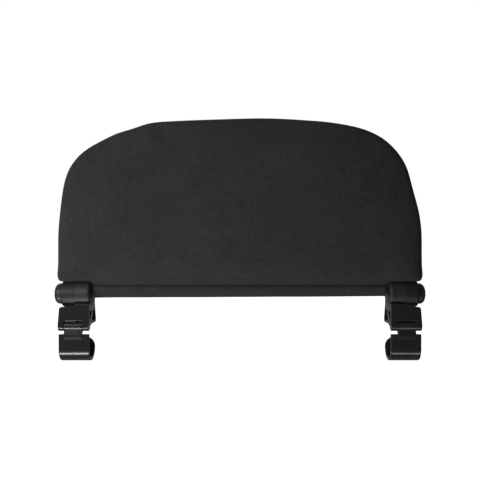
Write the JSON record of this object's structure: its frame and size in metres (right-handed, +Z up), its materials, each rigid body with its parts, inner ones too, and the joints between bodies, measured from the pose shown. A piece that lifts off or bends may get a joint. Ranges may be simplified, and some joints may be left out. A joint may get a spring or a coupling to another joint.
{
  "type": "clip-on chair headrest",
  "caption": "Padded D-shaped headrest on two push-button lock hinges, with hooks that snap over a round chair tube.",
  "frame": {"origin": "on the axis of the chair tube that the clips hold, midway between the two clips", "axes": "+X along the tube to the right as seen from the padded front, +Y to the back, +Z up"},
  "size_m": [0.332, 0.0276, 0.2164],
  "materials": {
    "cover_fabric": "fine plain weave, matt",
    "hem_fabric": "fine plain weave, matt, stitched",
    "foam": "soft open-cell foam",
    "board": "plain sheet",
    "frame_steel": "black powder coat",
    "rod_steel": "zinc plated",
    "hub_plastic": "satin moulded nylon",
    "arm_plastic": "satin moulded nylon",
    "clip_plastic": "satin moulded nylon",
    "button_plastic": "satin moulded",
    "gear_plastic": "moulded acetal",
    "spring_steel": "spring wire",
    "fastener_steel": "zinc plated",
    "pin_steel": "plain steel, dark oiled"
  },
  "bodies": {
    "clips": {"tube_clip_left": "clip_plastic", "tube_clip_right": "clip_plastic"},
    "arm_left": {"hinge_arm_left": "arm_plastic", "pivot_pin_left": "pin_steel"},
    "arm_right": {"hinge_arm_right": "arm_plastic", "pivot_pin_right": "pin_steel"},
    "headrest": {"fabric_cover": "cover_fabric", "hem_sleeve": "hem_fabric", "foam_front": "foam", "foam_core": "foam", "foam_back": "foam", "stiffener_board": "board", "frame_arch": "frame_steel", "cross_rod": "rod_steel", "outer_hub_left": "hub_plastic", "outer_hub_right": "hub_plastic", "rod_nut_left": "fastener_steel", "rod_nut_right": "fastener_steel", "frame_screw_left": "fastener_steel", "frame_screw_right": "fastener_steel", "lock_spring_left": "spring_steel", "lock_spring_right": "spring_steel"},
    "button_left": {"push_button_left": "button_plastic", "lock_gear_left": "gear_plastic"},
    "button_right": {"push_button_right": "button_plastic", "lock_gear_right": "gear_plastic"}
  },
  "joints": [
    {"name": "arm_left_swing", "type": "hinge", "parent": "clips", "child": "arm_left", "pos_m": [-0.1475, -0.0075, 0.02], "axis": [1, 0, 0], "range_deg": [-36, 90]},
    {"name": "arm_right_swing", "type": "hinge", "parent": "clips", "child": "arm_right", "pos_m": [0.1475, -0.0075, 0.02], "axis": [1, 0, 0], "range_deg": [-36, 90]},
    {"name": "headrest_tilt", "type": "hinge", "parent": "arm_left", "child": "headrest", "pos_m": [-0.1395, 0, 0.048], "axis": [1, 0, 0], "range_deg": [-90, 90]},
    {"name": "button_left_push", "type": "slide", "parent": "headrest", "child": "button_left", "axis": [1, 0, 0], "range_m": [0, 0.0035], "stiffness_N_per_m": 1200, "springref_m": -0.002, "deforming": ["lock_spring_left"]},
    {"name": "button_right_push", "type": "slide", "parent": "headrest", "child": "button_right", "axis": [-1, 0, 0], "range_m": [0, 0.0035], "stiffness_N_per_m": 1200, "springref_m": -0.002, "deforming": ["lock_spring_right"]}
  ],
  "couplings": [
    {"joint": "arm_right_swing", "follows": "arm_left_swing", "ratio": 1}
  ]
}
